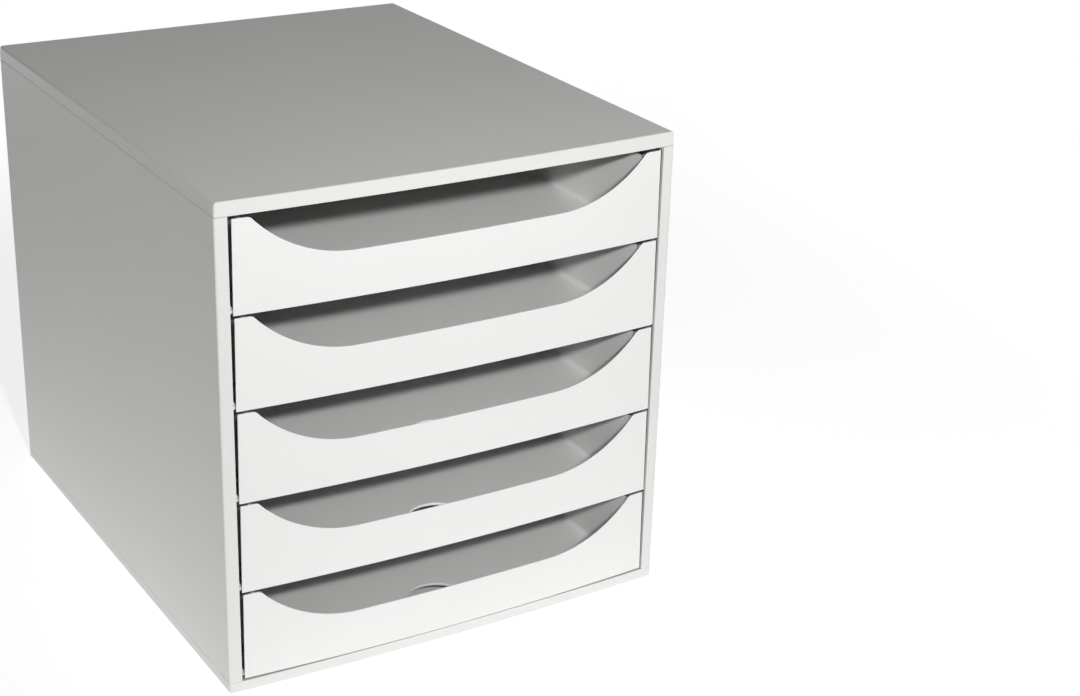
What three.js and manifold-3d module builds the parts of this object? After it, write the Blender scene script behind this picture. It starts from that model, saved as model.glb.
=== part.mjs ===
// Desktop file drawer unit: a casing of five moulded panels and five open trays that slide out of its front.
// Millimetres. X runs to the right seen from the front, Y to the back and Z up.
// The origin is on the table, under the middle of the unit.
import * as THREE from 'three';
import { mergeVertices } from 'three/addons/utils/BufferGeometryUtils.js';
import Module from 'manifold-3d';

const wasm = await Module();
wasm.setup();

// Casing
const casingWidth = 284;
const casingDepth = 345;
const topRimHeight = 8.4;
const baseRimHeight = 6.5;
const sideBandWidth = 7.3;
const bandWall = 2.2;
const deckWall = 2.5;
const skinWall = 2.5;
const backWall = 2;
const cornerRound = 1.5;
const rimCorner = 0.5;
const topSideRound = 2;
const topEndRound = 0.8;
const baseSideRound = 1;
const baseEndRound = 0.6;
const seamGroove = 0.4;
const jointGap = 0.3;

// Forward bulge in the middle of the front, seen from above, of the casing and of the drawer fronts
const casingBow = 3.8;
const drawerBow = 5;

// Stiffening ribs of the panels
const ribWall = 2;
const deckRibHeight = 4;
const baseRibHeight = 3;
const backRibHeight = 3;
const deckRibShares = [0.2, 0.4, 0.6, 0.8];
const baseRibShares = [0.35, 0.65];
const baseLongRibShares = [0.3, 0.5, 0.7];
const backRibShares = [0.2, 0.4, 0.6, 0.8];
const sideRibShares = [0.25, 0.5, 0.75];

// Tongues and tabs that locate the panels on each other
const tongueWall = 2;
const tabWall = 2;
const tabLength = 24;
const tabInset = 3.5;
const tabReach = 1;
const tabShares = [0.2, 0.5, 0.8];

// Feet
const footStand = 0.8;
const footRadius = 8.5;
const footRecess = 2;
const footInset = 22;
const footEdge = 0.5;
const bossWall = 1.8;

// Drawer fronts
const drawerCount = 5;
const frontHeight = 53.2;
const frontWall = 2.3;
const frontGap = 1.5;
const lowestFrontGap = 1.1;
const highestFrontGap = 1.9;
const frontSideGap = 0.9;
const frontDraft = 0.6;
const frontCorner = 0.8;

// Scooped hand opening of a front
const scoopDepth = 26.4;
const scoopRadius = 80;
const scoopShoulder = 4;
const scoopMargin = 8.8;

// Tray behind a front
const tubWall = 2;
const tubCorner = 6;
const tubDraft = 0.8;
const floorWall = 2;
const floorLift = 3.5;
const floorFillet = 3;
const undersideRound = 1.5;
const flangeWall = 2;
const flangeDrop = 0.4;
const flangeGap = 0.5;
const flangeReach = 10.2;
const flangeCorner = 4;
const rearFlange = 4;
const flangeWebWall = 1.8;
const flangeWebHeight = 6;
const flangeWebShares = [0.25, 0.5, 0.75];
const rearGap = 2;

// Thumb hole in the tray floor, a half round with its straight side towards the front
const thumbRadius = 18;
const thumbCentre = 19;
const thumbStart = 8;

// Runners and stops
const railWall = 2.6;
const railReach = 7;
const railGap = 0.3;
const guideWall = 1.8;
const guideHeight = 3;
const guideGap = 0.6;
const gussetWall = 2;
const gussetWidth = 7.5;
const gussetHeight = 14.3;
const drawerTravel = 262;
const lugHeight = 1.5;
const lugLength = 6;
const lugWidth = 6;
const lugInset = 2;
const toothLength = 4;
const toothGap = 0.6;
const stopGap = 0.3;

// Overlap of one feature into the next of the same moulding, and overrun of a cut
const weld = 0.6;
const overrun = 3;

// Facets
const cornerSteps = 3;
const roundSteps = 4;
const rollSteps = 6;
const bowSteps = 10;
const scoopSteps = 12;
const thumbSteps = 16;
const footSteps = 24;

// Places that follow from the sizes
const halfWidth = casingWidth / 2;
const bowSpan = halfWidth - cornerRound;
const frontPlane = (drawerBow - casingDepth) / 2;
const rearPlane = frontPlane + casingDepth;
const openingHalf = halfWidth - sideBandWidth;
const pitch = frontHeight + frontGap;
const casingBottom = footStand;
const baseTop = casingBottom + baseRimHeight;
const lowestFront = baseTop + lowestFrontGap;
const highestFront = lowestFront + (drawerCount - 1) * pitch;
const openingTop = highestFront + frontHeight + highestFrontGap;
const casingTop = openingTop + topRimHeight;
const deckUnderside = casingTop - deckWall;
const sideBottom = baseTop + jointGap;
const sideTop = openingTop - seamGroove;
const backRear = rearPlane - bandWall - jointGap;
const backFront = backRear - backWall;
const innerRear = backFront - jointGap;
const innerFront = frontPlane + frontWall + jointGap;
const drawerDepth = backFront - backRibHeight - rearGap - frontPlane;
const footHalf = openingHalf - frontSideGap;
const headHalf = footHalf - frontDraft;
const flangeHalf = openingHalf - flangeGap;
const tubHalf = flangeHalf - flangeReach;
const tubRear = drawerDepth - rearFlange;
const flangeTop = frontHeight - flangeDrop;
const railTop = floorLift - railGap;
const railBottom = railTop - railWall;
const nextRailBottom = pitch + railBottom;
const lugOuter = flangeHalf - lugInset;
const lugInner = lugOuter - lugWidth;
const lugFront = drawerDepth - lugInset - lugLength;
const toothRear = frontPlane + lugFront - drawerTravel - stopGap;
const toothFront = toothRear - toothLength;
const toothHeight = nextRailBottom - flangeTop - toothGap;
const halfTurn = Math.PI;
const quarterTurn = Math.PI / 2;

const casingPlastic = new THREE.MeshStandardMaterial({ color: 0xdfe0de, roughness: 0.55, metalness: 0 });
const drawerPlastic = new THREE.MeshStandardMaterial({ color: 0xe9e9e8, roughness: 0.5, metalness: 0 });
const footRubber = new THREE.MeshStandardMaterial({ color: 0x8d8f90, roughness: 0.85, metalness: 0 });

// Solids and cuts

function toSolid(geometry) {
  const bare = geometry.clone();
  bare.deleteAttribute('normal');
  bare.deleteAttribute('uv');
  const merged = mergeVertices(bare);
  const vertProperties = new Float32Array(merged.attributes.position.array);
  const triVerts = new Uint32Array(merged.index.array);
  return new wasm.Manifold(new wasm.Mesh({ numProp: 3, vertProperties, triVerts }));
}

function toGeometry(solid) {
  const { vertProperties, triVerts } = solid.getMesh();
  const geometry = new THREE.BufferGeometry();
  geometry.setAttribute('position', new THREE.BufferAttribute(new Float32Array(vertProperties), 3));
  geometry.setIndex(new THREE.BufferAttribute(new Uint32Array(triVerts), 1));
  geometry.computeVertexNormals();
  return geometry;
}

const joined = (solids) => solids.reduce((whole, piece) => whole.add(piece));
const cutBy = (solid, cuts) => cuts.reduce((rest, cut) => rest.subtract(cut), solid);

function block(low, high) {
  const size = high.map((value, axis) => value - low[axis]);
  const middle = high.map((value, axis) => (value + low[axis]) / 2);
  return toSolid(new THREE.BoxGeometry(...size).translate(...middle));
}

// A profile seen from above, raised from one height to another
function raise(shape, bottom, top, curveSegments) {
  const depth = top - bottom;
  const options = { depth, bevelEnabled: false, curveSegments };
  return toSolid(new THREE.ExtrudeGeometry(shape, options).translate(0, 0, bottom));
}

// A profile seen from the front, X across and Z up, run from one Y to another
function runBack(shape, front, rear, curveSegments) {
  const options = { depth: rear - front, bevelEnabled: false, curveSegments };
  return toSolid(new THREE.ExtrudeGeometry(shape, options).rotateX(quarterTurn).translate(0, rear, 0));
}

function polygon(points) {
  return new THREE.Shape(points.map(([across, along]) => new THREE.Vector2(across, along)));
}

// A closed skin through rings of equal point counts, each ring counter-clockwise seen from the last one.
// The end caps are divided up as they look across the two given axes.
function loft(rings, [across, up] = [0, 1]) {
  const count = rings[0].length;
  const positions = rings.flat(2);
  const index = [];
  for (let ring = 0; ring < rings.length - 1; ring += 1) {
    for (let step = 0; step < count; step += 1) {
      const near = ring * count + step;
      const next = ring * count + ((step + 1) % count);
      index.push(near, next, next + count, near, next + count, near + count);
    }
  }
  const last = (rings.length - 1) * count;
  const flat = rings[0].map((point) => new THREE.Vector2(point[across], point[up]));
  for (const [a, b, c] of THREE.ShapeUtils.triangulateShape(flat, [])) {
    index.push(c, b, a, last + a, last + b, last + c);
  }
  const geometry = new THREE.BufferGeometry();
  geometry.setAttribute('position', new THREE.Float32BufferAttribute(positions, 3));
  geometry.setIndex(index);
  return toSolid(geometry);
}

const level = (outline, height) => outline.map(([x, y]) => [x, y, height]);

function arc(centre, radius, from, to, steps) {
  const points = [];
  for (let step = 0; step <= steps; step += 1) {
    const turn = from + ((to - from) * step) / steps;
    points.push([centre[0] + radius * Math.cos(turn), centre[1] + radius * Math.sin(turn)]);
  }
  return points;
}

// How far a bulging front stands forward at a place across it
const bowAt = (x, bow, span) => bow * (1 - (x / span) ** 2);

// Points along a bulging front from left to right, without its two ends
function bowedEdge(half, front, bow, span) {
  const points = [];
  for (let step = 1; step < bowSteps; step += 1) {
    const x = along(step / bowSteps, -half, half);
    points.push([x, front - bowAt(x, bow, span)]);
  }
  return points;
}

// Counter-clockwise outline of the casing: four round corners and a bulging front
function capOutline(half, front, rear, corner) {
  const side = half - corner;
  const frontSide = front + corner;
  const rearSide = rear - corner;
  return [
    ...arc([side, rearSide], corner, 0, quarterTurn, cornerSteps),
    ...arc([-side, rearSide], corner, quarterTurn, halfTurn, cornerSteps),
    ...arc([-side, frontSide], corner, halfTurn, halfTurn + quarterTurn, cornerSteps),
    ...bowedEdge(side, front, casingBow, bowSpan),
    ...arc([side, frontSide], corner, halfTurn + quarterTurn, 2 * halfTurn, cornerSteps),
  ];
}

// Counter-clockwise outline of a tray: two round corners at the rear and a bulging front
function tubOutline(half, front, rear, radius) {
  const cornerFront = front - bowAt(half, drawerBow, footHalf);
  return [
    [-half, cornerFront],
    ...bowedEdge(half, front, drawerBow, footHalf),
    [half, cornerFront],
    ...arc([half - radius, rear - radius], radius, 0, quarterTurn, cornerSteps),
    ...arc([-half + radius, rear - radius], radius, quarterTurn, halfTurn, cornerSteps),
  ];
}

// Inset and rise of each step up a quarter round
function quarterRound(radius) {
  const steps = [];
  for (let step = 0; step <= roundSteps; step += 1) {
    const turn = (quarterTurn * step) / roundSteps;
    steps.push({ inset: radius * (1 - Math.cos(turn)), rise: radius * Math.sin(turn) });
  }
  return steps;
}

const along = (share, from, to) => from + share * (to - from);

// Casing panels

// Inset of a rounded edge at a depth below its end face
function roundInset(radius, depth) {
  const rise = radius - Math.min(depth, radius);
  return radius - Math.sqrt(radius * radius - rise * rise);
}

// Outer block of a cap panel, with the edges away from the drawers rounded
function capBlock(plainEnd, roundEnd, sideRound, endRound) {
  const outward = Math.sign(roundEnd - plainEnd);
  const ring = (depth, height) => {
    const side = roundInset(sideRound, depth);
    const end = roundInset(endRound, depth);
    return level(capOutline(halfWidth - side, frontPlane + end, rearPlane - end, cornerRound), height);
  };
  const rings = [ring(sideRound, plainEnd)];
  for (const { rise } of quarterRound(sideRound)) {
    const depth = sideRound - rise;
    rings.push(ring(depth, roundEnd - outward * depth));
  }
  return loft(outward > 0 ? rings : rings.reverse());
}

// Space inside the rim of a cap panel, and where the rim's inner face stands at a place across the front
function capHollow(bottom, top) {
  const half = halfWidth - bandWall;
  const outline = capOutline(half, frontPlane + bandWall, rearPlane - bandWall, rimCorner);
  return loft([level(outline, bottom), level(outline, top)]);
}

const rimInside = (x) => frontPlane + bandWall - bowAt(x, casingBow, bowSpan);

function topPanel() {
  const ribTop = deckUnderside + weld;
  const holdBottom = highestFront + nextRailBottom;
  const pieces = [cutBy(capBlock(openingTop, casingTop, topSideRound, topEndRound), [
    capHollow(openingTop - overrun, deckUnderside),
  ])];
  for (const share of deckRibShares) {
    const y = along(share, frontPlane, rearPlane);
    pieces.push(block(
      [-lugOuter, y - ribWall / 2, deckUnderside - deckRibHeight],
      [lugOuter, y + ribWall / 2, ribTop],
    ));
  }
  for (const side of [-1, 1]) {
    const middle = side * (lugInner + lugOuter) / 2;
    pieces.push(block(
      [middle - ribWall / 2, rimInside(middle) - weld, holdBottom],
      [middle + ribWall / 2, innerRear, ribTop],
    ));
    pieces.push(block(
      [middle - lugWidth / 2, toothFront, holdBottom - toothHeight],
      [middle + lugWidth / 2, toothRear, ribTop],
    ));
  }
  return toGeometry(joined(pieces));
}

function footPlaces() {
  const x = halfWidth - footInset;
  const front = frontPlane + footInset;
  const rear = rearPlane - footInset;
  return [[-x, front], [x, front], [-x, rear], [x, rear]];
}

function disc([x, y], radius, bottom, top) {
  const height = top - bottom;
  const geometry = new THREE.CylinderGeometry(radius, radius, height, footSteps);
  return toSolid(geometry.rotateX(quarterTurn).translate(x, y, bottom + height / 2));
}

function basePanel() {
  const inner = halfWidth - bandWall;
  const underDeck = baseTop - deckWall;
  const ribBottom = underDeck - baseRibHeight;
  const pieces = [cutBy(capBlock(baseTop, casingBottom, baseSideRound, baseEndRound), [
    capHollow(casingBottom - overrun, underDeck),
  ])];
  for (const share of baseRibShares) {
    const y = along(share, frontPlane, rearPlane);
    pieces.push(block(
      [-inner - weld, y - ribWall / 2, ribBottom],
      [inner + weld, y + ribWall / 2, underDeck + weld],
    ));
  }
  for (const share of baseLongRibShares) {
    const x = along(share, -inner, inner);
    pieces.push(block(
      [x - ribWall / 2, rimInside(x) - weld, ribBottom],
      [x + ribWall / 2, rearPlane - bandWall + weld, underDeck + weld],
    ));
  }
  const cuts = [];
  const bossRadius = footRadius + jointGap + bossWall;
  for (const place of footPlaces()) {
    pieces.push(disc(place, bossRadius, casingBottom, underDeck + weld));
    cuts.push(disc(place, footRadius + jointGap, casingBottom - overrun, casingBottom + footRecess));
  }
  for (const side of [-1, 1]) {
    for (const share of tabShares) {
      const y = along(share, frontPlane, rearPlane);
      const outer = side * (halfWidth - tabInset + jointGap);
      const inside = side * (halfWidth - tabInset - tabWall - jointGap);
      cuts.push(block(
        [Math.min(outer, inside), y - tabLength / 2 - jointGap, underDeck - overrun],
        [Math.max(outer, inside), y + tabLength / 2 + jointGap, baseTop + overrun],
      ));
    }
  }
  return toGeometry(cutBy(joined(pieces), cuts));
}

function foot() {
  const top = casingBottom + footRecess - jointGap;
  const profile = [[0, 0], [footRadius - footEdge, 0], [footRadius, footEdge], [footRadius, top], [0, top]];
  const points = profile.map(([radius, height]) => new THREE.Vector2(radius, height));
  return toGeometry(toSolid(new THREE.LatheGeometry(points, footSteps).rotateX(quarterTurn)));
}

// Left side panel: a skin turned in at the front and back, with runners inside
function sidePanel() {
  const left = -halfWidth;
  const skinInside = left + skinWall;
  const bandInside = left + sideBandWidth;
  const skin = new THREE.Shape();
  skin.moveTo(left + cornerRound, frontPlane);
  skin.lineTo(bandInside, rimInside(bandInside) - bandWall);
  skin.lineTo(bandInside, rimInside(bandInside));
  skin.lineTo(skinInside, frontPlane + bandWall);
  skin.lineTo(skinInside, rearPlane - bandWall);
  skin.lineTo(bandInside, rearPlane - bandWall);
  skin.lineTo(bandInside, rearPlane);
  skin.lineTo(left + cornerRound, rearPlane);
  skin.absarc(left + cornerRound, rearPlane - cornerRound, cornerRound, quarterTurn, halfTurn);
  skin.absarc(left + cornerRound, frontPlane + cornerRound, cornerRound, halfTurn, halfTurn + quarterTurn);
  const pieces = [raise(skin, sideBottom, sideTop, cornerSteps)];

  // Shelves along the top and bottom edges, and the tongue that stands inside the top panel's rim
  for (const [low, high] of [[sideBottom, sideBottom + bandWall], [sideTop - bandWall, sideTop]]) {
    pieces.push(block(
      [skinInside - weld, frontPlane + bandWall - weld, low],
      [bandInside, innerRear, high],
    ));
  }
  const tongueOuter = left + bandWall + jointGap;
  pieces.push(block(
    [tongueOuter, frontPlane + bandWall + cornerRound, sideTop - weld],
    [tongueOuter + tongueWall, innerRear, deckUnderside - jointGap],
  ));
  for (const share of tabShares) {
    const y = along(share, frontPlane, rearPlane);
    pieces.push(block(
      [left + tabInset, y - tabLength / 2, baseTop - deckWall - tabReach],
      [left + tabInset + tabWall, y + tabLength / 2, sideBottom + weld],
    ));
  }
  for (const share of sideRibShares) {
    const y = along(share, frontPlane, rearPlane);
    pieces.push(block(
      [skinInside - weld, y - ribWall / 2, sideBottom],
      [bandInside, y + ribWall / 2, sideTop],
    ));
  }

  // One runner a drawer: a ledge with an upright guide, and a gusset behind the front band
  const ledgeEnd = -tubHalf + railReach;
  const guideInside = -tubHalf - guideGap;
  const guideOutside = guideInside - guideWall;
  for (let row = 0; row < drawerCount; row += 1) {
    const base = lowestFront + row * pitch;
    const top = base + railTop;
    const bottom = base + railBottom;
    const rail = polygon([
      [skinInside - weld, bottom],
      [ledgeEnd, bottom],
      [ledgeEnd, top],
      [guideInside, top],
      [guideInside, top + guideHeight],
      [guideOutside, top + guideHeight],
      [guideOutside, top],
      [skinInside - weld, top],
    ]);
    pieces.push(runBack(rail, innerFront, innerRear));
    const gusset = polygon([
      [skinInside - weld, top - weld],
      [skinInside + gussetWidth, top - weld],
      [skinInside + gussetWidth, top],
      [skinInside, top + gussetHeight],
      [skinInside - weld, top + gussetHeight],
    ]);
    pieces.push(runBack(gusset, innerFront, innerFront + gussetWall));
    if (row > 0) {
      pieces.push(block(
        [-lugOuter, toothFront, bottom - toothHeight],
        [-lugInner, toothRear, bottom + weld],
      ));
    }
  }
  return toGeometry(joined(pieces));
}

function mirrored(geometry) {
  const copy = geometry.clone().scale(-1, 1, 1);
  const index = copy.index.array;
  for (let corner = 0; corner < index.length; corner += 3) {
    [index[corner], index[corner + 1]] = [index[corner + 1], index[corner]];
  }
  copy.computeVertexNormals();
  return copy;
}

function backPanel() {
  const half = halfWidth - skinWall - jointGap;
  const bottom = baseTop + jointGap;
  const top = deckUnderside - jointGap;
  const pieces = [block([-half, backFront, bottom], [half, backRear, top])];
  for (const share of backRibShares) {
    const x = along(share, -tubHalf, tubHalf);
    pieces.push(block(
      [x - ribWall / 2, backFront - backRibHeight, bottom + deckWall],
      [x + ribWall / 2, backFront + weld, openingTop - deckWall],
    ));
  }
  return toGeometry(joined(pieces));
}

// Drawer, with its front face at Y = 0 and the lower edge of its front at Z = 0

// Right half of the front's upper edge, from the middle out: places on its crest and the way out of the material
function upperEdge() {
  const reach = scoopRadius + scoopShoulder;
  const drop = scoopRadius + scoopShoulder - scoopDepth;
  const run = Math.sqrt(reach * reach - drop * drop);
  const flatHalf = headHalf - scoopMargin - run;
  const centre = [flatHalf, frontHeight - scoopDepth + scoopRadius];
  const shoulder = [flatHalf + run, frontHeight - scoopShoulder];
  const meet = Math.atan2(-drop, run);
  const edge = [];
  for (let step = 0; step < bowSteps / 2; step += 1) {
    edge.push({ place: [along(2 * step / bowSteps, 0, flatHalf), frontHeight - scoopDepth], out: [0, 1] });
  }
  for (const [x, z] of arc([0, 0], 1, -quarterTurn, meet, scoopSteps)) {
    edge.push({ place: [centre[0] + scoopRadius * x, centre[1] + scoopRadius * z], out: [-x, -z] });
  }
  for (const [x, z] of arc([0, 0], 1, meet + halfTurn, quarterTurn, roundSteps).slice(1)) {
    edge.push({ place: [shoulder[0] + scoopShoulder * x, shoulder[1] + scoopShoulder * z], out: [x, z] });
  }
  edge.push({ place: [headHalf, frontHeight], out: [0, 1] });
  return edge;
}

// The front is skinned through sections side by side, each with a fully rounded upper edge
function frontPlate() {
  const roll = frontWall / 2;
  const section = ({ place: [x, z], out: [outX, outZ] }) => {
    const foot = arc([frontCorner, frontCorner], frontCorner, halfTurn, halfTurn + quarterTurn, roundSteps / 2);
    const head = arc([roll, 0], roll, 0, halfTurn, rollSteps);
    return [
      ...foot.map(([y, height]) => [x, y, height]),
      [x, frontWall, 0],
      ...head.map(([y, lift]) => [x + outX * (lift - roll), y, z + outZ * (lift - roll)]),
    ];
  };
  // Sides lean in towards the top, and the whole section stands forward with the bulge
  const shaped = ([x, y, z]) => {
    const wide = x * along(z / frontHeight, footHalf / headHalf, 1);
    return [wide, y - bowAt(wide, drawerBow, footHalf), z];
  };
  const right = upperEdge();
  const left = right.slice(1).reverse().map(({ place: [x, z], out: [outX, outZ] }) => (
    { place: [-x, z], out: [-outX, outZ] }
  ));
  return loft([...left, ...right].map((stand) => section(stand).map(shaped)), [1, 2]);
}

function trayBody() {
  const front = frontWall - weld;
  const ring = (inset, height) => (
    level(tubOutline(tubHalf - inset, front, tubRear - inset, tubCorner), height)
  );
  const rings = quarterRound(undersideRound)
    .map(({ inset, rise }) => ring(undersideRound - rise, floorLift + inset));
  rings.push(ring(-tubDraft, flangeTop));
  return loft(rings);
}

// The hollow of the tray, with a fillet all round its floor; above the fillet the front closes it
function trayHollow() {
  const half = tubHalf - tubWall;
  const rear = tubRear - tubWall;
  const corner = tubCorner - tubWall;
  const floorTop = floorLift + floorWall;
  const openFront = frontWall - weld - overrun;
  const ring = (inset, height, front) => (
    level(tubOutline(half - inset, front, rear - inset, corner), height)
  );
  const rings = quarterRound(floorFillet)
    .map(({ inset, rise }) => ring(floorFillet - rise, floorTop + inset, frontWall + floorFillet - rise));
  rings.push(ring(0, floorTop + floorFillet + weld, openFront));
  rings.push(ring(-tubDraft, flangeTop, openFront));
  rings.push(ring(-tubDraft, flangeTop + overrun, openFront));
  return loft(rings);
}

// Flange turned outwards along the sides and the rear, with webs under it and a stop lug on each side
function flangePieces() {
  const flange = polygon(tubOutline(flangeHalf, frontWall - weld, drawerDepth, flangeCorner));
  const pieces = [raise(flange, flangeTop - flangeWall, flangeTop)];
  for (const side of [-1, 1]) {
    const web = polygon([
      [side * tubHalf, flangeTop - flangeWall - flangeWebHeight],
      [side * flangeHalf, flangeTop - flangeWall],
      [side * flangeHalf, flangeTop - flangeWall + weld],
      [side * tubHalf, flangeTop - flangeWall + weld],
    ]);
    for (const share of flangeWebShares) {
      const y = along(share, frontWall, tubRear);
      pieces.push(runBack(web, y - flangeWebWall / 2, y + flangeWebWall / 2));
    }
    const lugSides = [side * lugInner, side * lugOuter];
    pieces.push(block(
      [Math.min(...lugSides), lugFront, flangeTop - weld],
      [Math.max(...lugSides), lugFront + lugLength, flangeTop + lugHeight],
    ));
  }
  return pieces;
}

function thumbCut() {
  const hole = new THREE.Shape();
  hole.moveTo(-thumbRadius, thumbStart);
  hole.lineTo(thumbRadius, thumbStart);
  hole.absarc(0, thumbCentre, thumbRadius, 0, halfTurn);
  return raise(hole, floorLift - overrun, floorLift + floorWall + overrun, thumbSteps);
}

function drawer() {
  const tray = cutBy(joined([trayBody(), ...flangePieces()]), [trayHollow(), thumbCut()]);
  return toGeometry(joined([frontPlate(), tray]));
}

// Assembly

const unit = new THREE.Group();
unit.name = 'desktop_file_drawer';

function place(name, geometry, material, [x, y, z] = [0, 0, 0]) {
  const mesh = new THREE.Mesh(geometry, material);
  mesh.name = name;
  mesh.position.set(x, y, z);
  unit.add(mesh);
}

const leftSide = sidePanel();
place('top_panel', topPanel(), casingPlastic);
place('base_panel', basePanel(), casingPlastic);
place('left_side_panel', leftSide, casingPlastic);
place('right_side_panel', mirrored(leftSide), casingPlastic);
place('back_panel', backPanel(), casingPlastic);

const padGeometry = foot();
const footNames = ['foot_front_left', 'foot_front_right', 'foot_rear_left', 'foot_rear_right'];
footPlaces().forEach(([x, y], corner) => place(footNames[corner], padGeometry, footRubber, [x, y, 0]));

// The top drawer is number 1
const drawerGeometry = drawer();
for (let row = 0; row < drawerCount; row += 1) {
  const height = lowestFront + row * pitch;
  place(`drawer_${drawerCount - row}`, drawerGeometry, drawerPlastic, [0, frontPlane, height]);
}

export default unit;
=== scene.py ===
import math
import bmesh
import bpy
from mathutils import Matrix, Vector


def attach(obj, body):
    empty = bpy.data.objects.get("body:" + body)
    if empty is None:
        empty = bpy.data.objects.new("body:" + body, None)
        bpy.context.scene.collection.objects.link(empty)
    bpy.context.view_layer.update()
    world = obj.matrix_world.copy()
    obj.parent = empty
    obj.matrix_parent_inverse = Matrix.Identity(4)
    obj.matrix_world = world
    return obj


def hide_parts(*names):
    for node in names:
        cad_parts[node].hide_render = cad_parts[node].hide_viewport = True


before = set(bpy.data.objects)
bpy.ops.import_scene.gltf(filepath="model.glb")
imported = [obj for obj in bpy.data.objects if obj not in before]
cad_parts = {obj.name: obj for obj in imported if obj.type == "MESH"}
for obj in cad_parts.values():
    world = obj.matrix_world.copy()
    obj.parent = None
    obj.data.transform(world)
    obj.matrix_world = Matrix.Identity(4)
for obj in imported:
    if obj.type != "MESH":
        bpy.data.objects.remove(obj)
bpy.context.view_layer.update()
scene = bpy.context.scene
print("frame loaded:", len(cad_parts), "nodes")

# the camera, in metres and degrees
cameraView = {
    "place": (-0.51439, -1.07637, 0.62465),
    "turn": (67.1014, -1.6637, -31.4415),
    "lens": 67.47,
    "sensor": 36.0,
    "far": 50.0,                        # nothing beyond this is drawn
}


def addCamera(look):
    data = bpy.data.cameras.new("photoCamera")
    data.lens = look["lens"]
    data.sensor_width = look["sensor"]
    data.sensor_fit = "HORIZONTAL"
    data.clip_end = look["far"]
    camera = bpy.data.objects.new("photoCamera", data)
    camera.location = look["place"]
    camera.rotation_euler = [math.radians(angle) for angle in look["turn"]]
    scene.collection.objects.link(camera)
    scene.camera = camera


# a signal wraps a socket so that it can be used in sums
class Signal:
    def __init__(self, sheet, socket):
        self.sheet = sheet
        self.socket = socket

    def maths(self, operation, first, second):
        return self.sheet.add("ShaderNodeMath", {"operation": operation}, {0: first, 1: second})

    def __add__(self, other):
        return self.maths("ADD", self, other)

    def __radd__(self, other):
        return self.maths("ADD", other, self)

    def __mul__(self, other):
        return self.maths("MULTIPLY", self, other)

    def __rmul__(self, other):
        return self.maths("MULTIPLY", other, self)


# a sheet holds the nodes of one material, or of the world
class Sheet:
    def __init__(self, tree):
        self.tree = tree
        tree.nodes.clear()

    # settings first, then the values or links of the sockets, by name or number
    def add(self, kind, settings=None, sockets=None, output=0):
        node = self.tree.nodes.new(kind)
        for key, value in (settings or {}).items():
            setattr(node, key, value)
        for key, value in (sockets or {}).items():
            if isinstance(value, Signal):
                self.tree.links.new(value.socket, node.inputs[key])
            else:
                node.inputs[key].default_value = value
        return Signal(self, node.outputs[output]) if len(node.outputs) else None


def newSheet(name):
    material = bpy.data.materials.new(name)
    material.use_nodes = True
    return material, Sheet(material.node_tree)


# moulded polystyrene: a fine spark grain, faint flow marks and a satin sheen
casingFinish = {
    "tone": (0.66, 0.656, 0.643), "rough": 0.46, "gloss": 0.25,
    "grain": 1500.0, "depth": 0.00002,
}
drawerFinish = {
    "tone": (0.715, 0.712, 0.705), "rough": 0.4, "gloss": 0.28,
    "grain": 1900.0, "depth": 0.00001,
}
plasticMarks = {                        # the same on both plastics
    "grainDetail": 3.0, "grainBump": 0.35, "flow": 9.0, "flowDetail": 2.0, "flowTone": 0.975,
    "roughDrop": 0.03, "flowRough": 0.04, "grainRough": 0.03, "ior": 1.5,
}


def mouldedPlastic(name, look):
    marks = plasticMarks
    material, sheet = newSheet(name)
    place = sheet.add("ShaderNodeTexCoord", output="Object")
    grain = sheet.add("ShaderNodeTexNoise", {}, {
        "Vector": place, "Scale": look["grain"], "Detail": marks["grainDetail"],
    })
    flow = sheet.add("ShaderNodeTexNoise", {}, {
        "Vector": place, "Scale": marks["flow"], "Detail": marks["flowDetail"],
    })
    tone = (*look["tone"], 1.0)
    dark = (*[value * marks["flowTone"] for value in look["tone"]], 1.0)
    colour = sheet.add("ShaderNodeMix", {"data_type": "RGBA"}, {
        0: flow, 6: tone, 7: dark,
    }, output=2)
    bump = sheet.add("ShaderNodeBump", {}, {
        "Strength": marks["grainBump"], "Distance": look["depth"], "Height": grain,
    })
    smoothest = look["rough"] - marks["roughDrop"]
    rough = smoothest + flow * marks["flowRough"] + grain * marks["grainRough"]
    shader = sheet.add("ShaderNodeBsdfPrincipled", {}, {
        "Base Color": colour, "Roughness": rough, "Normal": bump,
        "IOR": marks["ior"], "Specular IOR Level": look["gloss"],
    })
    sheet.add("ShaderNodeOutputMaterial", {}, {"Surface": shader})
    return material


rubberFinish = {
    "tone": (0.05, 0.05, 0.052), "rough": 0.75, "grainRough": 0.1,
    "grain": 900.0, "grainDetail": 4.0, "grainBump": 0.5, "depth": 0.00005,
}


def softRubber(name, look):
    material, sheet = newSheet(name)
    place = sheet.add("ShaderNodeTexCoord", output="Object")
    grain = sheet.add("ShaderNodeTexNoise", {}, {
        "Vector": place, "Scale": look["grain"], "Detail": look["grainDetail"],
    })
    bump = sheet.add("ShaderNodeBump", {}, {
        "Strength": look["grainBump"], "Distance": look["depth"], "Height": grain,
    })
    rough = look["rough"] + grain * look["grainRough"]
    shader = sheet.add("ShaderNodeBsdfPrincipled", {}, {
        "Base Color": (*look["tone"], 1.0), "Roughness": rough, "Normal": bump,
    })
    sheet.add("ShaderNodeOutputMaterial", {}, {"Surface": shader})
    return material


casingPlastic = mouldedPlastic("casingPlastic", casingFinish)
drawerPlastic = mouldedPlastic("drawerPlastic", drawerFinish)
footRubber = softRubber("footRubber", rubberFinish)
print("materials made")

# sizes are in millimetres, Blender works in metres
mm = 0.001
root = 0.6                              # ribs and lugs reach this deep into what carries them
clear = 1.0                             # cutters stand this far past what they cut
drumSides = 1440                        # for the bulging fronts
smoothAngle = 32                        # edges flatter than this, in degrees, are shaded smooth

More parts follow.
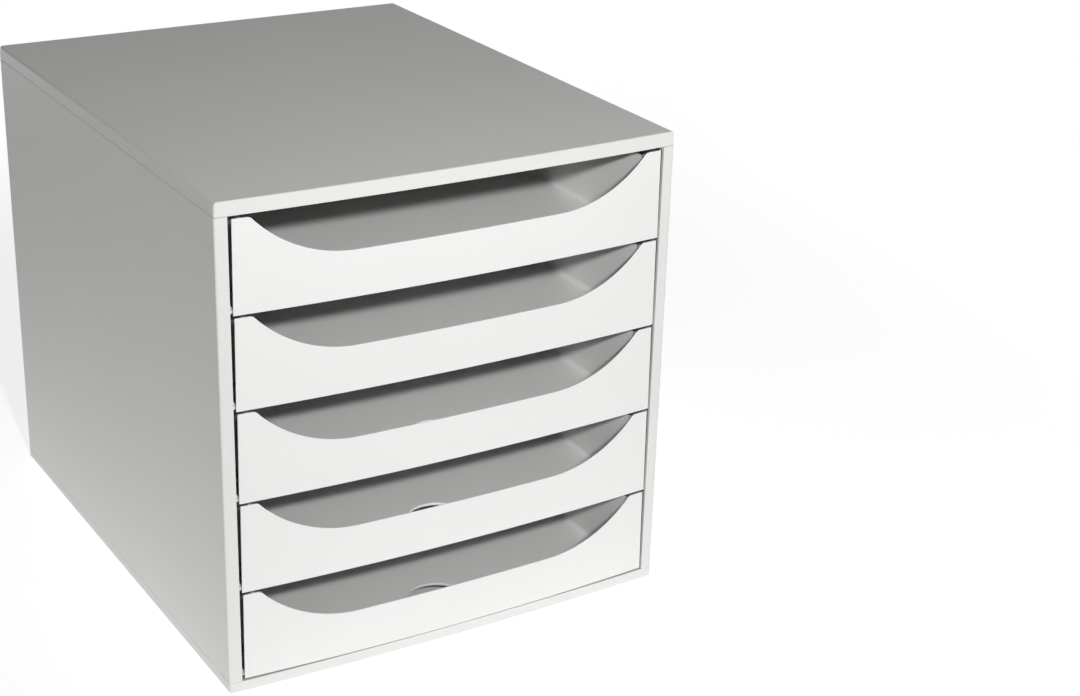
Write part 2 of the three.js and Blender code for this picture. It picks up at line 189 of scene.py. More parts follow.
# how faces and edges are told apart when they are picked
near, exact = 0.05, 0.005               # distance from a place
straight, mostly, slanted = 0.99, 0.9, 0.5      # how much of a normal lies along an axis
longEdge = 100.0                        # edges longer than this run all along a panel


def deselectAll():
    if bpy.context.object and bpy.context.object.mode != "OBJECT":
        bpy.ops.object.mode_set(mode="OBJECT")
    bpy.ops.object.select_all(action="DESELECT")


def makeActive(piece):
    deselectAll()
    piece.select_set(True)
    bpy.context.view_layer.objects.active = piece


def applyPlace(piece):                  # the place goes into the mesh, and the object to the origin
    makeActive(piece)
    bpy.ops.object.transform_apply(location=True, rotation=True, scale=True)
    return piece


def addBlock(name, low, high):
    deselectAll()
    middle = [(a + b) / 2 * mm for a, b in zip(low, high)]
    size = [(b - a) * mm for a, b in zip(low, high)]
    bpy.ops.mesh.primitive_cube_add(size=1, location=middle, scale=size)
    bpy.context.object.name = name
    return applyPlace(bpy.context.object)


def addSideBlock(name, side, low, high):    # measured on the right, where side is 1; the left is -1
    inner, outer = sorted((side * low[0], side * high[0]))
    return addBlock(name, (inner, *low[1:]), (outer, *high[1:]))


def addRound(name, centre, radius, low, high, sides, axis="Z"):
    deselectAll()
    middle = (low + high) / 2
    place = (centre[0], centre[1], middle) if axis == "Z" else (centre[0], middle, centre[1])
    turn = (0, 0, 0) if axis == "Z" else (math.pi / 2, 0, 0)
    bpy.ops.mesh.primitive_cylinder_add(
        vertices=sides, radius=radius * mm, depth=(high - low) * mm,
        location=[value * mm for value in place], rotation=turn)
    bpy.context.object.name = name
    return applyPlace(bpy.context.object)


def openEdit(piece, kind):
    makeActive(piece)
    bpy.ops.object.mode_set(mode="EDIT")
    bpy.ops.mesh.select_mode(type=kind)
    bpy.ops.mesh.select_all(action="DESELECT")


def closeEdit():
    bpy.ops.object.mode_set(mode="OBJECT")


def pickFaces(piece, test):             # test(middle in mm, normal) says which faces are selected
    openEdit(piece, "FACE")
    cage = bmesh.from_edit_mesh(piece.data)
    for face in cage.faces:
        if test(face.calc_center_median() / mm, face.normal):
            face.select_set(True)
    bmesh.update_edit_mesh(piece.data)


def pickEdges(piece, test):             # test(one end, other end, normals of the two faces)
    openEdit(piece, "EDGE")
    cage = bmesh.from_edit_mesh(piece.data)
    for edge in cage.edges:
        ends = [vertex.co / mm for vertex in edge.verts]
        if test(*ends, [face.normal for face in edge.link_faces]):
            edge.select_set(True)
    bmesh.update_edit_mesh(piece.data)


def pickAll(piece):
    openEdit(piece, "VERT")
    bpy.ops.mesh.select_all(action="SELECT")


def isAt(value, place, reach=near):
    return abs(value - place) < reach


def bothAt(first, second, place):       # for the two ends of an edge
    return isAt(first, place) and isAt(second, place)


def isUpper(middle, normal):            # faces that look up
    return normal.z > mostly


def isLower(middle, normal):            # faces that look down
    return normal.z < -mostly


def isInner(middle, normal):            # faces of the left side that look inwards
    return normal.x > mostly


def levelAt(height):                    # level faces at one height, without the rounds beside them
    return lambda middle, normal: isAt(middle.z, height, exact) and abs(normal.z) > straight


def bevelEdges(piece, width, segments, test, clamp=True):
    pickEdges(piece, test)
    bpy.ops.mesh.bevel(offset=width * mm, segments=segments, affect="EDGES", clamp_overlap=clamp)
    closeEdit()


def weightEdges(piece, weight, test):
    pickEdges(piece, test)
    bpy.ops.transform.edge_bevelweight(value=weight)
    closeEdit()


def pushFaces(piece, test, move, inset=0.0):
    pickFaces(piece, test)
    if inset:
        bpy.ops.mesh.inset(thickness=inset * mm)
    move = [value * mm for value in move]
    bpy.ops.mesh.extrude_region_move(TRANSFORM_OT_translate={"value": move})
    closeEdit()


def drawFaces(piece, test, share, centre=0.0):  # faces get narrower or wider across X
    pickFaces(piece, test)
    bpy.ops.transform.resize(value=(share, 1, 1), center_override=(centre * mm, 0, 0))
    closeEdit()


def slicePiece(piece, places, across):  # new edge loops square to one axis
    for place in places:
        pickAll(piece)
        point = [0, 0, 0]
        point["XYZ".index(across)] = place * mm
        normal = [0, 0, 0]
        normal["XYZ".index(across)] = 1
        bpy.ops.mesh.bisect(plane_co=point, plane_no=normal)
    closeEdit()


def applyModifier(piece, kind, **settings):
    makeActive(piece)
    modifier = piece.modifiers.new(kind, kind)
    for key, value in settings.items():
        setattr(modifier, key, value)
    bpy.ops.object.modifier_apply(modifier=modifier.name)


def carve(piece, cutter, operation="DIFFERENCE"):
    applyModifier(piece, "BOOLEAN", object=cutter, operation=operation, solver="EXACT")
    mesh = cutter.data
    bpy.data.objects.remove(cutter)
    bpy.data.meshes.remove(mesh)
    return piece


def copyPiece(piece, name):
    makeActive(piece)
    bpy.ops.object.duplicate()
    copy = bpy.context.object
    copy.name = name
    return copy


def mirrorPiece(piece, name):
    copy = copyPiece(piece, name)
    copy.scale = (-1, 1, 1)
    applyPlace(copy)
    pickAll(copy)
    bpy.ops.mesh.normals_make_consistent(inside=False)
    closeEdit()
    return copy


def joinPieces(pieces, name):
    makeActive(pieces[0])
    for piece in pieces:
        piece.select_set(True)
    bpy.ops.object.join()
    pieces[0].name = name
    return pieces[0]


def finishPiece(piece, dress, body, node):
    makeActive(piece)
    piece.data.materials.clear()
    piece.data.materials.append(dress["material"])
    bpy.ops.object.shade_smooth_by_angle(angle=math.radians(smoothAngle))
    applyModifier(piece, "WEIGHTED_NORMAL", keep_sharp=True)
    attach(piece, body)
    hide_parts(node)


def arcRadius(bow, half):               # of a bulge that stands forward by bow over a half width
    return (half * half + bow * bow) / (2 * bow)


# what the casing's pieces share, and the rows of drawers in it
casing = {
    "half": 142.0, "front": -170.0, "rear": 175.0,
    "bottom": 0.8, "baseTop": 7.3, "openingTop": 282.3, "top": 290.7,
    "bow": 3.8, "bowHalf": 140.5, "drumLow": -20.0, "drumHigh": 320.0,
    "spare": 8.0,                       # blocks start this far ahead and are trimmed to the bulge
    "wall": 2.2, "deck": 2.5, "skin": 2.5, "band": 7.3, "corner": 1.5, "halfRib": 1.0,
    "rows": 5, "firstRow": 8.4, "pitch": 54.7,
}
stopTooth = {"inner": 126.2, "outer": 132.2, "front": -108.8, "rear": -104.8}


def trimFront(piece, inset=0.0):        # gives a casing piece the bulging front
    radius = arcRadius(casing["bow"], casing["bowHalf"])
    centre = (0, casing["front"] - casing["bow"] + radius)
    low, high = casing["drumLow"], casing["drumHigh"]
    return carve(piece, addRound("drum", centre, radius - inset, low, high, drumSides), "INTERSECT")


def alongDepth(share):                  # a place between the casing's front and rear
    return casing["front"] + share * (casing["rear"] - casing["front"])


def rowBase(row):                       # the lower edge of a row's drawer, counted from the bottom
    return casing["firstRow"] + row * casing["pitch"]


def isCorner(a, b, normals):            # the upright edges at the casing's corners
    half, reach, tall = casing["half"], 0.5, 3.0
    onSide = isAt(abs(a.x), half, reach) and isAt(abs(b.x), half, reach)
    return onSide and isAt(a.y, b.y) and abs(a.z - b.z) > tall


def addStopTooth(side, low, high):      # the lugs of a drawer stop against it
    tooth = stopTooth
    return addSideBlock("stopTooth", side, (tooth["inner"], tooth["front"], low),
                        (tooth["outer"], tooth["rear"], high))


def capPanel(name, plain, rounded, look):   # the heights of its plain edge and of its rounded face
    half, front = casing["half"], casing["front"] - casing["spare"]
    low, high = sorted((plain, rounded))
    panel = addBlock(name, (-half, front, low), (half, casing["rear"], high))
    trimFront(panel)
    drawFaces(panel, levelAt(rounded), 1 - look["lean"] / half)

    def onSide(a, b, normals):
        return bothAt(a.z, b.z, rounded) and abs(a.y - b.y) > longEdge

    def onEnd(a, b, normals):
        return bothAt(a.z, b.z, rounded) and abs(a.y - b.y) < longEdge

    # one bevel makes all three rounds, each as a share of the widest
    widest = 2.0
    weightEdges(panel, look["sideRound"] / widest, onSide)
    weightEdges(panel, look["endRound"] / widest, onEnd)
    weightEdges(panel, casing["corner"] / widest, isCorner)
    applyModifier(panel, "BEVEL", limit_method="WEIGHT", width=widest * mm, segments=5,
                  use_clamp_overlap=False)
    bevelEdges(panel, look["rimEdge"], 2, lambda a, b, normals: bothAt(a.z, b.z, plain))
    return panel


topPanelShape = {
    "sideRound": 2.0, "endRound": 0.8, "lean": 0.4, "rimEdge": 0.12, "rimWall": 1.95,
    "ribShares": (0.2, 0.4, 0.6, 0.8), "ribHalf": 131.0, "ribHeight": 4.0,
    "holdInner": 128.2, "holdOuter": 130.2, "holdFront": -168.2, "holdRear": 170.2,
    "holdLow": 282.5, "toothLow": 280.6,
}


def makeTopPanel(look):
    plain, rounded = casing["openingTop"], casing["top"]
    under = rounded - casing["deck"]
    panel = capPanel("topPanel", plain, rounded, look)
    pushFaces(panel, levelAt(plain), (0, 0, under - plain), look["rimWall"])
    parts = [panel]
    ribHalf, thick, high = look["ribHalf"], casing["halfRib"], under + root
    for share in look["ribShares"]:
        y = alongDepth(share)
        parts.append(addBlock("topRib", (-ribHalf, y - thick, under - look["ribHeight"]),
                              (ribHalf, y + thick, high)))
    for side in (-1, 1):                # hold ribs keep the top drawer down
        parts.append(addSideBlock("holdRib", side,
                                  (look["holdInner"], look["holdFront"], look["holdLow"]),
                                  (look["holdOuter"], look["holdRear"], high)))
        parts.append(addStopTooth(side, look["toothLow"], high))
    return joinPieces(parts, "topPanel")


basePanelShape = {
    "sideRound": 1.0, "endRound": 0.6, "lean": 0.0, "rimEdge": 0.12, "rimWall": 1.2,
    "lip": 0.9, "sunk": 1.2, "sunkRear": 170.0,     # the lowered deck and the lip in front of it
    "ribShares": (0.35, 0.65), "ribHalf": 140.4, "ribHeight": 3.0,
    "longShares": (0.3, 0.5, 0.7), "longSpread": 139.8, "longFront": -170.4, "longRear": 173.4,
    "footInset": 22.0, "bossRadius": 10.6, "socketRadius": 8.8, "socketDepth": 2.0, "bossSides": 64,
}


def footPlaces():
    inset = basePanelShape["footInset"]
    across = casing["half"] - inset
    rows = (casing["front"] + inset, casing["rear"] - inset)
    return [(side * across, y) for y in rows for side in (-1, 1)]


def makeBasePanel(look):
    plain, rounded = casing["baseTop"], casing["bottom"]
    under = plain - casing["deck"]
    panel = capPanel("basePanel", plain, rounded, look)
    pushFaces(panel, levelAt(rounded), (0, 0, under - rounded), look["rimWall"])
    # the deck under the drawers lies a little lower than the front rim
    inner, front = casing["half"] - casing["band"], casing["front"] - casing["spare"]
    sunk = addBlock("sunk", (-inner, front, plain - look["sunk"]),
                    (inner, look["sunkRear"], plain + clear))
    carve(panel, trimFront(sunk, look["lip"]))
    parts = [panel]
    low, high = under - look["ribHeight"], under + root
    ribHalf, thick = look["ribHalf"], casing["halfRib"]
    for share in look["ribShares"]:
        y = alongDepth(share)
        parts.append(addBlock("baseRib", (-ribHalf, y - thick, low), (ribHalf, y + thick, high)))
    for share in look["longShares"]:
        x = (share - 0.5) * 2 * look["longSpread"]
        parts.append(addBlock("baseLongRib", (x - thick, look["longFront"], low),
                              (x + thick, look["longRear"], high)))
    for place in footPlaces():          # a boss with a socket for each foot
        boss = addRound("boss", place, look["bossRadius"], rounded, high, look["bossSides"])
        wall = look["bossRadius"] - look["socketRadius"]
        pushFaces(boss, isLower, (0, 0, look["socketDepth"]), wall)
        parts.append(boss)
    return joinPieces(parts, "basePanel")


footShape = {
    "radius": 8.5, "top": 2.5, "edge": 0.5, "sides": 64,
    "margin": 1.6, "slope": 0.3, "grooveWidth": 1.2, "groove": 0.35,
}


def makeFoot(name, place, look):
    pad = addRound(name, place, look["radius"], 0, look["top"], look["sides"])
    bevelEdges(pad, look["edge"], 3, lambda a, b, normals: bothAt(a.z, b.z, 0))
    # a ring-shaped groove in the face that stands on the table
    slope, groove = look["slope"], look["groove"]
    rings = [(look["margin"], 0), (slope, groove), (look["grooveWidth"], 0), (slope, -groove)]
    pickFaces(pad, levelAt(0))
    for step, rise in rings:
        bpy.ops.mesh.inset(thickness=step * mm)
        if rise:
            bpy.ops.transform.translate(value=(0, 0, rise * mm))
    closeEdit()
    return pad


# the left panel is made and the right one mirrored
sidePanelShape = {
    "low": 7.4, "high": 282.05, "edge": 0.15, "bandEdge": 0.35,
    "ribShares": (0.25, 0.5, 0.75), "ribEnd": 0.5,
    # tabs below and a tongue above join it to the base and top panels
    "tabShares": (0.2, 0.5, 0.8), "tabHalf": 12.0, "tabOuter": 3.5, "tabInner": 5.5, "tabLow": 3.8,
    "tongueGap": 0.3, "tongueWall": 2.0, "tongueStart": 3.7, "tongueRear": 170.2,
    "tongueTop": 287.9,
    # one rail with a guide and a gusset for each row, in heights above the row's base
    "railFront": -167.4, "railRear": 170.2, "railLow": 0.6, "railHigh": 3.2, "ledgeEnd": -117.0,
    "guideInside": -124.6, "guideWall": 1.8, "guideHeight": 3.0, "railEdge": 0.3,
    "gussetWidth": 7.5, "gussetHeight": 14.3, "gussetDepth": 2.0, "gussetTip": 0.08,
    "gussetEdge": 0.25,
    "toothLow": 1.3, "toothHigh": 1.2,  # below and above the row's base
}


def makeRail(base, look):               # a drawer's flange runs on it, inside the guide
    wallSide = -casing["half"] + casing["skin"] - root
    rail = addBlock("rail", (wallSide, look["railFront"], base + look["railLow"]),
                    (look["ledgeEnd"], look["railRear"], base + look["railHigh"]))
    inside, outside = look["guideInside"], look["guideInside"] - look["guideWall"]
    slicePiece(rail, (outside, inside), "X")

    def onGuide(middle, normal):
        return isUpper(middle, normal) and outside < middle.x < inside

    def isLong(a, b, normals):          # from the guide inwards
        return abs(a.y - b.y) > longEdge and a.x > outside - near

    pushFaces(rail, onGuide, (0, 0, look["guideHeight"]))
    bevelEdges(rail, look["railEdge"], 2, isLong)
    return rail


def makeGusset(base, look):             # stiffens the front end of a rail
    front, foot = look["railFront"], base + look["railHigh"]
    rear, top = front + look["gussetDepth"], foot + look["gussetHeight"]
    skin = -casing["half"] + casing["skin"]
    gusset = addBlock("gusset", (skin - root, front, foot - root),
                      (skin + look["gussetWidth"], rear, top))
    drawFaces(gusset, isUpper, look["gussetTip"], skin - root)
    bevelEdges(gusset, look["gussetEdge"], 2, lambda a, b, normals: bothAt(a.y, b.y, front))
    return gusset


def makeSidePanel(look):
    left, inner = -casing["half"], -casing["half"] + casing["band"]
    low, high, skin = look["low"], look["high"], left + casing["skin"]
    panel = addBlock("leftSide", (left, casing["front"] - casing["spare"], low),
                     (inner, casing["rear"], high))
    trimFront(panel)
    bevelEdges(panel, casing["corner"], 4, isCorner)
    pushFaces(panel, isInner, (casing["skin"] - casing["band"], 0, 0), casing["wall"])

    def onEnds(a, b, normals):          # the edges that meet the top and base panels
        return (bothAt(a.z, b.z, low) or bothAt(a.z, b.z, high)) and not bothAt(a.x, b.x, inner)

    def onBand(a, b, normals):          # the band's edge beside the drawers
        atFront = bothAt(a.x, b.x, inner) and a.y < casing["front"] + clear
        return atFront and abs(a.z - b.z) > longEdge

    bevelEdges(panel, look["edge"], 2, onEnds)
    bevelEdges(panel, look["bandEdge"], 3, onBand)
    parts = [panel]
    thick, end = casing["halfRib"], look["ribEnd"]
    for share in look["ribShares"]:
        y = alongDepth(share)
        parts.append(addBlock("sideRib", (skin - root, y - thick, low + end),
                              (inner, y + thick, high - end)))
    for share in look["tabShares"]:     # these stand in slots of the base panel
        y = alongDepth(share)
        parts.append(addBlock("tab", (left + look["tabOuter"], y - look["tabHalf"], look["tabLow"]),
                              (left + look["tabInner"], y + look["tabHalf"], low + root)))
    tongue = left + casing["wall"] + look["tongueGap"]
    parts.append(addBlock("tongue", (tongue, casing["front"] + look["tongueStart"], high - root),
                          (tongue + look["tongueWall"], look["tongueRear"], look["tongueTop"])))
    for row in range(casing["rows"]):
        base = rowBase(row)
        parts.append(makeRail(base, look))
        parts.append(makeGusset(base, look))
        if row:                         # the teeth for the row below
            parts.append(addStopTooth(-1, base - look["toothLow"], base + look["toothHigh"]))
    return joinPieces(parts, "leftSide")


backPanelShape = {
    "half": 139.2, "front": 170.5, "rear": 172.5, "low": 7.6, "high": 287.9, "edge": 0.4,
    "ribShares": (0.2, 0.4, 0.6, 0.8), "ribSpread": 124.0, "ribHeight": 3.0,
    "ribLow": 10.1, "ribHigh": 279.8,
}


def makeBackPanel(look):
    half, front, rear = look["half"], look["front"], look["rear"]
    panel = addBlock("backPanel", (-half, front, look["low"]), (half, rear, look["high"]))
    bevelEdges(panel, look["edge"], 2, lambda a, b, normals: bothAt(a.y, b.y, rear))
    parts = [panel]
    thick = casing["halfRib"]
    for share in look["ribShares"]:
        x = (share - 0.5) * 2 * look["ribSpread"]
        parts.append(addBlock("backRib", (x - thick, front - look["ribHeight"], look["ribLow"]),
                              (x + thick, front + root, look["ribHigh"])))
    return joinPieces(parts, "backPanel")


topPanel = makeTopPanel(topPanelShape)
basePanel = makeBasePanel(basePanelShape)
leftSide = makeSidePanel(sidePanelShape)
rightSide = mirrorPiece(leftSide, "rightSide")
backPanel = makeBackPanel(backPanelShape)
casingDress = {"material": casingPlastic, "slot": "casing_plastic"}
finishPiece(topPanel, casingDress, "casing", "top_panel")
finishPiece(basePanel, casingDress, "casing", "base_panel")
finishPiece(leftSide, casingDress, "casing", "left_side_panel")
finishPiece(rightSide, casingDress, "casing", "right_side_panel")
finishPiece(backPanel, casingDress, "casing", "back_panel")
footDress = {"material": footRubber, "slot": "foot_rubber"}
footNames = ["front_left", "front_right", "rear_left", "rear_right"]
for corner, place in zip(footNames, footPlaces()):
    finishPiece(makeFoot("pad_" + corner, place, footShape), footDress, "casing", "foot_" + corner)
print("casing made")

# a drawer is made once, with its front's ends at y = 0 and its lower edge at z = 0
drawerShape = {
    # the front, which is wider at its foot than at its head, and its scoop
    "footHalf": 133.3, "headHalf": 132.7, "offset": 0.2, "height": 53.2, "wall": 2.3,
    "bow": 5.0, "drumLow": -20.0, "drumHigh": 90.0, "sliceStep": 11.5, "sliceCount": 10,
    "scoopDepth": 26.4, "scoopRadius": 80.0, "scoopFlat": 63.3,
    "scoopRise": 40.0, "scoopPast": 5.0, "scoopSides": 192,     # of the cutters
    "shoulder": 1.85, "edge": 0.35, "lip": 0.6,
    # the tray, whose walls lean outwards by the draft
    "tubHalf": 124.0, "tubStart": -8.0, "tubRear": 331.5, "tubCorner": 6.0, "tubWall": 2.0,
    "draft": 0.8, "floorLow": 3.5, "floorHigh": 5.5, "fillet": 3.0, "underRound": 1.5,
    "hollowGap": 0.06, "hollowRise": 12.0,
    # the flange with its webs and stop lugs
    "flangeTop": 52.8, "flangeWall": 2.0, "flangeHalf": 134.2, "flangeRear": 335.5,
    "flangeStart": 30.0, "startDrop": 3.5, "flangeEdge": 0.4, "cornerTurn": 0.7,
    "webShares": (0.25, 0.5, 0.75), "webHeight": 6.0, "webHalf": 0.9, "webRoot": 0.3,
    "webEnd": 0.4, "webTip": 0.1,
    "lugInner": 126.2, "lugOuter": 132.2, "lugFront": 327.5, "lugRear": 333.5,
    "lugHeight": 1.5, "lugEdge": 0.4,
    # the thumb hole in the floor
    "thumbRadius": 18.0, "thumbCentre": 19.0, "thumbStart": 8.0, "thumbHigh": 9.0,
    "thumbSides": 96, "thumbOverlap": 0.5, "thumbEdge": 0.3, "thumbLip": 0.6,
}


def frontDrum(look, inset):             # its surface follows the bulge, inset behind the front face
    radius = arcRadius(look["bow"], look["footHalf"])
    centre = (0, radius - look["bow"])
    return addRound("drum", centre, radius - inset, look["drumLow"], look["drumHigh"], drumSides)


def scoopCutters(look, grow, low, high):
    bottom = look["height"] - look["scoopDepth"]
    flat, radius = look["scoopFlat"], look["scoopRadius"]
    cutters = [addBlock("scoop", (-flat, low, bottom - grow),
                        (flat, high, look["height"] + look["scoopRise"]))]
    for side in (-1, 1):
        centre = (side * flat, bottom + radius)
        cutters.append(addRound("scoop", centre, radius + grow, low, high, look["scoopSides"], "Y"))
    return cutters


def makeFront(look):
    height, wall = look["height"], look["wall"]
    front = addBlock("drawerFront", (-look["footHalf"], 0, 0), (look["footHalf"], wall, height))
    drawFaces(front, isUpper, look["headHalf"] / look["footHalf"])
    for cutter in scoopCutters(look, 0, -look["scoopPast"], wall + look["scoopPast"]):
        carve(front, cutter)

    def onShoulder(a, b, normals):      # where the scoop meets the top
        onTop = bothAt(a.z, b.z, height) and abs(a.x) < look["headHalf"] - clear
        return onTop and isAt(a.x, b.x) and not isAt(a.y, b.y)

    def onOutline(normals, way):        # round the face, where way is -1, or round the back, 1
        flat = any(normal.y * way > straight for normal in normals)
        return flat and any(abs(normal.y) < slanted for normal in normals)

    bevelEdges(front, look["shoulder"], 6, onShoulder)
    # the outline is thinned to a lip from the inside and rounded on the face
    bevelEdges(front, wall - look["lip"], 1, lambda a, b, normals: onOutline(normals, 1), False)
    bevelEdges(front, look["edge"], 4, lambda a, b, normals: onOutline(normals, -1))
    # the plate is cut in strips so that it bends smoothly
    count = look["sliceCount"]
    slicePiece(front, [look["sliceStep"] * step for step in range(-count, count + 1)], "X")
    turn = 2 * math.asin(look["footHalf"] / arcRadius(look["bow"], look["footHalf"]))
    applyModifier(front, "SIMPLE_DEFORM", deform_method="BEND", deform_axis="Z", angle=turn)
    front.location = (look["offset"] * mm, -look["bow"] * mm, 0)
    return applyPlace(front)


def makeTub(look):                      # the tray before it is hollowed, with its flange
    half, start, rear = look["tubHalf"], look["tubStart"], look["tubRear"]
    low, top = look["floorLow"], look["flangeTop"]
    under = top - look["flangeWall"]
    tub = addBlock("tray", (-half, start, low), (half, rear, top))
    drawFaces(tub, isUpper, (half + look["draft"]) / half)

    def onRearCorner(a, b, normals):
        return bothAt(a.y, b.y, rear) and not isAt(a.z, b.z)

    def onUnderside(a, b, normals):
        return bothAt(a.z, b.z, low) and not bothAt(a.y, b.y, start)

    def onBand(middle, normal):         # the upper band of the sides and the rear
        return middle.z > under and abs(normal.z) < slanted and normal.y > -slanted

    def onFlange(a, b, normals):        # the flange's outer edges at the sides and their corners
        outward = any(abs(normal.x) > mostly or normal.y > look["cornerTurn"] for normal in normals)
        level = any(abs(normal.z) > mostly for normal in normals)
        isWide = max(abs(a.x), abs(b.x)) > (half + look["flangeHalf"]) / 2
        return outward and level and isWide and min(a.z, b.z) > under - clear

    bevelEdges(tub, look["tubCorner"], 6, onRearCorner)
    bevelEdges(tub, look["underRound"], 3, onUnderside)
    slicePiece(tub, [under], "Z")
    pickFaces(tub, onBand)
    bpy.ops.mesh.extrude_region_move(TRANSFORM_OT_translate={"value": (0, 0, 0)})
    wide = look["flangeHalf"] / (half + look["draft"])
    deep = (look["flangeRear"] - start) / (rear - start)
    bpy.ops.transform.resize(value=(wide, deep, 1), center_override=(0, start * mm, 0))
    closeEdit()
    bevelEdges(tub, look["flangeEdge"], 2, onFlange)
    for side in (-1, 1):                # the flange and the wall's top start behind the front
        inner, outer = half - look["tubWall"] - clear, look["flangeHalf"] + clear
        carve(tub, addSideBlock("start", side, (inner, start - clear, top - look["startDrop"]),
                                (outer, look["flangeStart"], top + clear)))
    return tub


def makeHollow(look):                   # the space in a tray, with a fillet all round its floor
    half, rear = look["tubHalf"] - look["tubWall"], look["tubRear"]
    wall, floor = look["tubWall"], look["floorHigh"]
    hollow = addBlock("hollow", (-half, look["tubStart"], floor),
                      (half, rear - wall, look["flangeTop"]))
    carve(hollow, frontDrum(look, look["wall"] + look["hollowGap"]), "INTERSECT")
    drawFaces(hollow, isUpper, (half + look["draft"]) / half)
    pushFaces(hollow, isUpper, (0, 0, look["hollowRise"]))

    def onRearCorner(a, b, normals):
        return min(a.y, b.y) > rear - wall - clear and not isAt(a.z, b.z)

    bevelEdges(hollow, look["tubCorner"] - wall, 5, onRearCorner)
    bevelEdges(hollow, look["fillet"], 6, lambda a, b, normals: bothAt(a.z, b.z, floor))
    return hollow


def cutThumbHole(tray, look):           # a half round with its straight side to the front
    radius, centre, start = look["thumbRadius"], look["thumbCentre"], look["thumbStart"]
    low, floor, high = look["floorLow"], look["floorHigh"], look["thumbHigh"]
    carve(tray, addBlock("thumb", (-radius, start, 0), (radius, centre, high)))
    disc = addRound("thumb", (0, centre), radius, 0, high, look["thumbSides"])
    pickAll(disc)
    cut = (0, (centre - look["thumbOverlap"]) * mm, 0)
    bpy.ops.mesh.bisect(plane_co=cut, plane_no=(0, 1, 0), use_fill=True, clear_inner=True)
    closeEdit()
    carve(tray, disc)

    def inHole(a):
        return abs(a.x) < radius + near and start - near < a.y < centre + radius + near

    def onRim(a, b, normals, height):   # the sharp edges of the hole at one height
        isSharp = len(normals) == 2 and abs(normals[0].dot(normals[1])) < slanted
        return isSharp and inHole(a) and inHole(b) and bothAt(a.z, b.z, height)

    # thinned to a lip from below, and rounded above
    thin = floor - low - look["thumbLip"]
    bevelEdges(tray, thin, 1, lambda a, b, normals: onRim(a, b, normals, low))
    bevelEdges(tray, look["thumbEdge"], 3, lambda a, b, normals: onRim(a, b, normals, floor))


def makeTray(look):
    tray = makeTub(look)
    hollow = makeHollow(look)
    carve(tray, frontDrum(look, look["wall"] / 2), "INTERSECT")
    carve(tray, hollow)
    for cutter in scoopCutters(look, look["wall"], look["tubStart"] - clear, look["wall"]):
        carve(tray, cutter)
    cutThumbHole(tray, look)
    return tray


def makeWeb(side, y, look):             # stiffens the flange from below
    half, thick = look["tubHalf"], look["webHalf"]
    low = look["flangeTop"] - look["flangeWall"]
    web = addSideBlock("web", side, (half - look["webRoot"], y - thick, low - look["webHeight"]),
                       (look["flangeHalf"] - look["webEnd"], y + thick, low + root))
    drawFaces(web, isLower, look["webTip"], side * half)
    return web


def makeLug(side, look):                # keeps the drawer in the casing at the end of its travel
    top = look["flangeTop"]
    high = top + look["lugHeight"]
    lug = addSideBlock("lug", side, (look["lugInner"], look["lugFront"], top - root),
                       (look["lugOuter"], look["lugRear"], high))
    bevelEdges(lug, look["lugEdge"], 2, lambda a, b, normals: bothAt(a.z, b.z, high))
    return lug


def makeDrawer(look):
    parts = [makeFront(look), makeTray(look)]
    start, rear = look["wall"], look["tubRear"]
    for side in (-1, 1):
        for share in look["webShares"]:
            parts.append(makeWeb(side, start + share * (rear - start), look))
        parts.append(makeLug(side, look))
    return joinPieces(parts, "drawer")


firstDrawer = makeDrawer(drawerShape)
drawerDress = {"material": drawerPlastic, "slot": "drawer_plastic"}
rowBodies = ["bottom_drawer", "fourth_drawer", "middle_drawer", "second_drawer", "top_drawer"]
for row, bodyName in enumerate(rowBodies):
    number = casing["rows"] - row       # counted from the top
    drawer = copyPiece(firstDrawer, f"openTray{number}")
    drawer.location = [value * mm for value in (0, casing["front"], rowBase(row))]
    finishPiece(applyPlace(drawer), drawerDress, bodyName, f"drawer_{number}")
bpy.data.objects.remove(firstDrawer)
print("drawers made")

# a small key lamp above the camera and to its right, aimed high so that an open drawer isn't
# lit too brightly, low fills at the left, the right and the rear, and a pale table that glows
studio = {
    "ambient": 0.01,
    "floorSize": 12.0, "floorTone": 0.8,
    "tableGlow": 0.85, "glowReach": (0.35, 0.65),
    "shadowShare": 0.2, "shadowTone": 2.0, "shadowReach": (0.5, 1.2),
    "lamps": [
        {"name": "keyLamp", "place": (-0.348, -1.195, 0.781), "aim": (0.302, -0.545, 1.181),
         "size": (0.08, 0.08), "watts": 28.7},
        {"name": "leftFill", "place": (-0.52, -0.3, 0.05), "aim": (-0.142, -0.12, 0.04),
         "size": (0.3, 0.08), "watts": 0.2},
        {"name": "rightFill", "place": (1.1, 0.1, 0.12), "aim": (0.14, 0, 0.13),
         "size": (1.2, 0.2), "watts": 3.5},
        {"name": "rearFill", "place": (0.1, 1.2, 0.12), "aim": (0, 0.17, 0.13),
         "size": (1.2, 0.2), "watts": 3.5},
    ],
}


def addLamp(look):
    data = bpy.data.lights.new(look["name"], "AREA")
    data.shape = "RECTANGLE"
    data.size, data.size_y = look["size"]
    data.energy = look["watts"]
    lamp = bpy.data.objects.new(look["name"], data)
    lamp.location = look["place"]
    direction = Vector(look["aim"]) - Vector(look["place"])
    lamp.rotation_euler = direction.to_track_quat("-Z", "Y").to_euler()
    scene.collection.objects.link(lamp)


def backgroundShare(sheet):             # 1 for rays that see the background, 0 for those that light
    seen = sheet.add("ShaderNodeLightPath", output="Is Camera Ray")
    glossy = sheet.add("ShaderNodeLightPath", output="Is Glossy Ray")
    through = sheet.add("ShaderNodeLightPath", output="Is Transmission Ray")
    return seen.maths("MINIMUM", seen + glossy + through, 1.0)


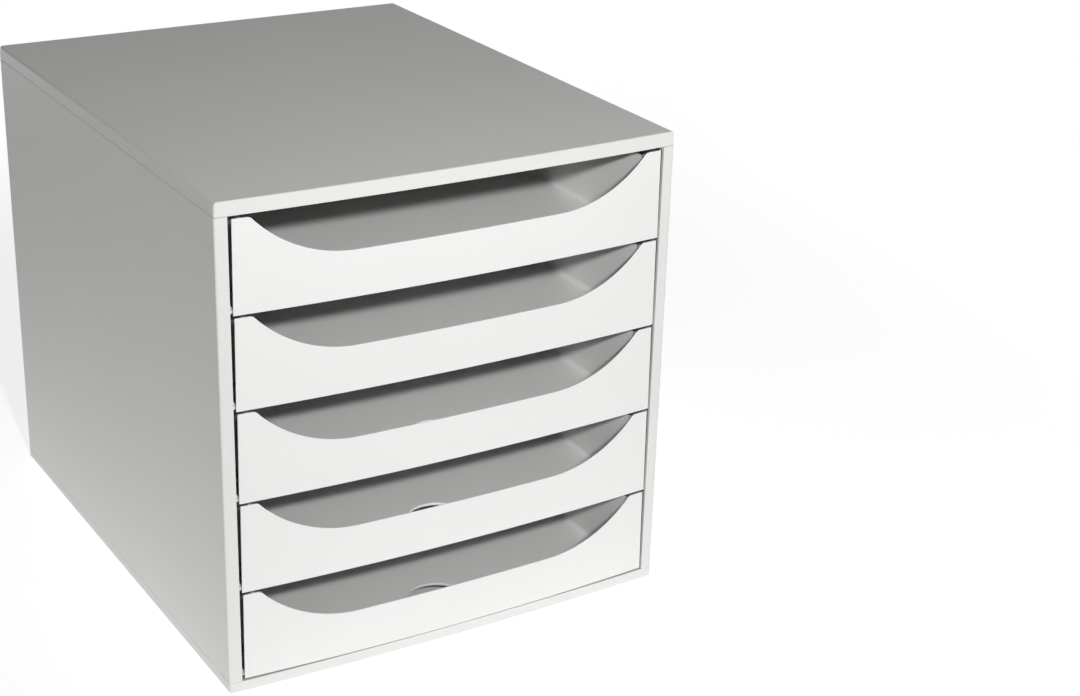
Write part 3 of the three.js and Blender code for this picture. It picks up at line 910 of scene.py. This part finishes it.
def fadeOut(sheet, reach):              # 1 near the unit and 0 beyond the reach
    place = sheet.add("ShaderNodeTexCoord", output="Object")
    distance = sheet.add("ShaderNodeVectorMath", {"operation": "LENGTH"}, {0: place}, output=1)
    return sheet.add("ShaderNodeMapRange", {"interpolation_type": "SMOOTHSTEP"}, {
        "Value": distance, "From Min": reach[0], "From Max": reach[1], "To Min": 1.0, "To Max": 0.0,
    })


def addWorld(look):
    world = bpy.data.worlds.new("studioWorld")
    world.use_nodes = True
    scene.world = world
    sheet = Sheet(world.node_tree)
    level = look["ambient"] + backgroundShare(sheet) * (1.0 - look["ambient"])
    background = sheet.add("ShaderNodeBackground", {}, {"Color": (1, 1, 1, 1), "Strength": level})
    sheet.add("ShaderNodeOutputWorld", {}, {"Surface": background})


def addFloor(look):
    bpy.ops.mesh.primitive_plane_add(size=look["floorSize"])
    floor = bpy.context.object
    floor.name = "studioFloor"
    material, sheet = newSheet("studioFloor")
    tableColour = (*[look["floorTone"]] * 3, 1)
    shadowColour = (*[look["shadowTone"]] * 3, 1)
    # what lights the object: a pale table with a glow near the unit
    table = sheet.add("ShaderNodeBsdfDiffuse", {}, {"Color": tableColour})
    strength = fadeOut(sheet, look["glowReach"]) * look["tableGlow"]
    glow = sheet.add("ShaderNodeEmission", {}, {"Color": (1, 1, 1, 1), "Strength": strength})
    lit = sheet.add("ShaderNodeAddShader", {}, {0: table, 1: glow})
    # what the camera sees: plain white that keeps the unit's shadow
    white = sheet.add("ShaderNodeEmission", {}, {"Color": (1, 1, 1, 1), "Strength": 1.0})
    shaded = sheet.add("ShaderNodeBsdfDiffuse", {}, {"Color": shadowColour})
    shadow = fadeOut(sheet, look["shadowReach"]) * look["shadowShare"]
    backdrop = sheet.add("ShaderNodeMixShader", {}, {0: shadow, 1: white, 2: shaded})
    mixed = sheet.add("ShaderNodeMixShader", {}, {0: backgroundShare(sheet), 1: lit, 2: backdrop})
    sheet.add("ShaderNodeOutputMaterial", {}, {"Surface": mixed})
    floor.data.materials.append(material)


deselectAll()
addCamera(cameraView)
addWorld(studio)
addFloor(studio)
for lamp in studio["lamps"]:
    addLamp(lamp)
scene.view_settings.view_transform = "Standard"
print("studio made")
